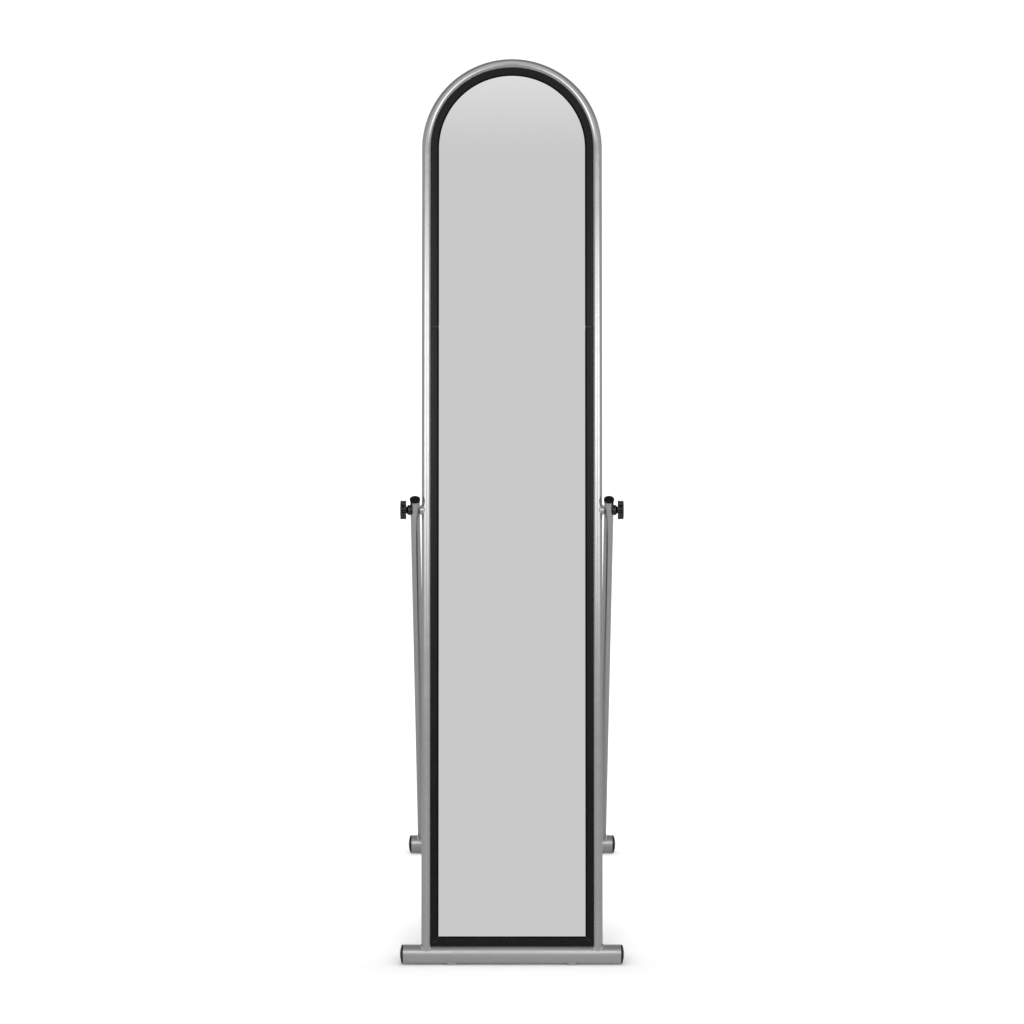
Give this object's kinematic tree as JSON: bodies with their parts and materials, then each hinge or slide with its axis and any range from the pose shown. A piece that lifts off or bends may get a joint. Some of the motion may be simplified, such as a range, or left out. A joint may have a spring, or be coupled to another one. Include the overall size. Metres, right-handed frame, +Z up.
{
  "type": "free-standing floor mirror",
  "caption": "Tall narrow mirror with an arched top in a silver tube frame with black edging, on a cross tube and a rear stand that folds about side knobs.",
  "frame": {"origin": "on the floor, midway between the left and right sides and midway between the front and rear feet", "axes": "+Z up, +X to the right as seen from the mirror's front, +Y to the back, away from the viewer"},
  "size_m": [0.3776, 0.532, 1.4595],
  "materials": {
    "silver_paint": "glossy silver-grey lacquer on steel tube",
    "weld_paint": "silver-grey lacquer over a rippled weld bead",
    "black_trim": "satin black extrusion",
    "black_cap": "moulded black with a fine grain",
    "mirror": "clear silvered glass",
    "board": "brown fibreboard, smooth side out",
    "zinc": "zinc plated",
    "glide": "light translucent plastic"
  },
  "bodies": {
    "mirror_frame": {"frame_tube": "silver_paint", "base_tube": "silver_paint", "base_cap_left": "black_cap", "base_cap_right": "black_cap", "base_weld_left": "weld_paint", "base_weld_right": "weld_paint", "front_glide_left": "glide", "front_glide_right": "glide", "mirror_glass": "mirror", "backing_board": "board", "trim_arch": "black_trim", "trim_side_left": "black_trim", "trim_side_right": "black_trim", "trim_bottom": "black_trim", "back_tabs": "silver_paint", "tab_screws": "zinc", "pivot_lug_left": "silver_paint", "pivot_lug_right": "silver_paint", "lug_weld_left": "weld_paint", "lug_weld_right": "weld_paint"},
    "rear_stand": {"leg_left": "silver_paint", "leg_right": "silver_paint", "leg_cap_left": "black_cap", "leg_cap_right": "black_cap", "rear_tube": "silver_paint", "rear_cap_left": "black_cap", "rear_cap_right": "black_cap", "rear_weld_left": "weld_paint", "rear_weld_right": "weld_paint", "rear_glide_left": "glide", "rear_glide_right": "glide"},
    "washer_left": {"saddle_washer_left": "black_cap"},
    "washer_right": {"saddle_washer_right": "black_cap"},
    "knob_left": {"knob_left": "black_cap", "knob_screw_left": "zinc"},
    "knob_right": {"knob_right": "black_cap", "knob_screw_right": "zinc"}
  },
  "joints": [
    {"name": "stand_fold", "type": "hinge", "parent": "mirror_frame", "child": "rear_stand", "pos_m": [0, -0.02456, 0.73074], "axis": [1, 0, 0], "range_deg": [-36, 50]},
    {"name": "washer_left_slide", "type": "slide", "parent": "rear_stand", "child": "washer_left", "axis": [-1, 0, 0], "range_m": [0, 0.002]},
    {"name": "washer_right_slide", "type": "slide", "parent": "rear_stand", "child": "washer_right", "axis": [1, 0, 0], "range_m": [0, 0.002]},
    {"name": "knob_left_turn", "type": "hinge", "parent": "washer_left", "child": "knob_left", "pos_m": [-0.185, -0.02456, 0.73074], "axis": [-1, 0, 0], "range_deg": [0, 720]},
    {"name": "knob_right_turn", "type": "hinge", "parent": "washer_right", "child": "knob_right", "pos_m": [0.185, -0.02456, 0.73074], "axis": [1, 0, 0], "range_deg": [0, 720]}
  ],
  "couplings": [
    {"joint": "knob_left_turn", "follows": "washer_left_slide", "rad_per_m": 6283.2},
    {"joint": "knob_right_turn", "follows": "washer_right_slide", "rad_per_m": 6283.2}
  ]
}
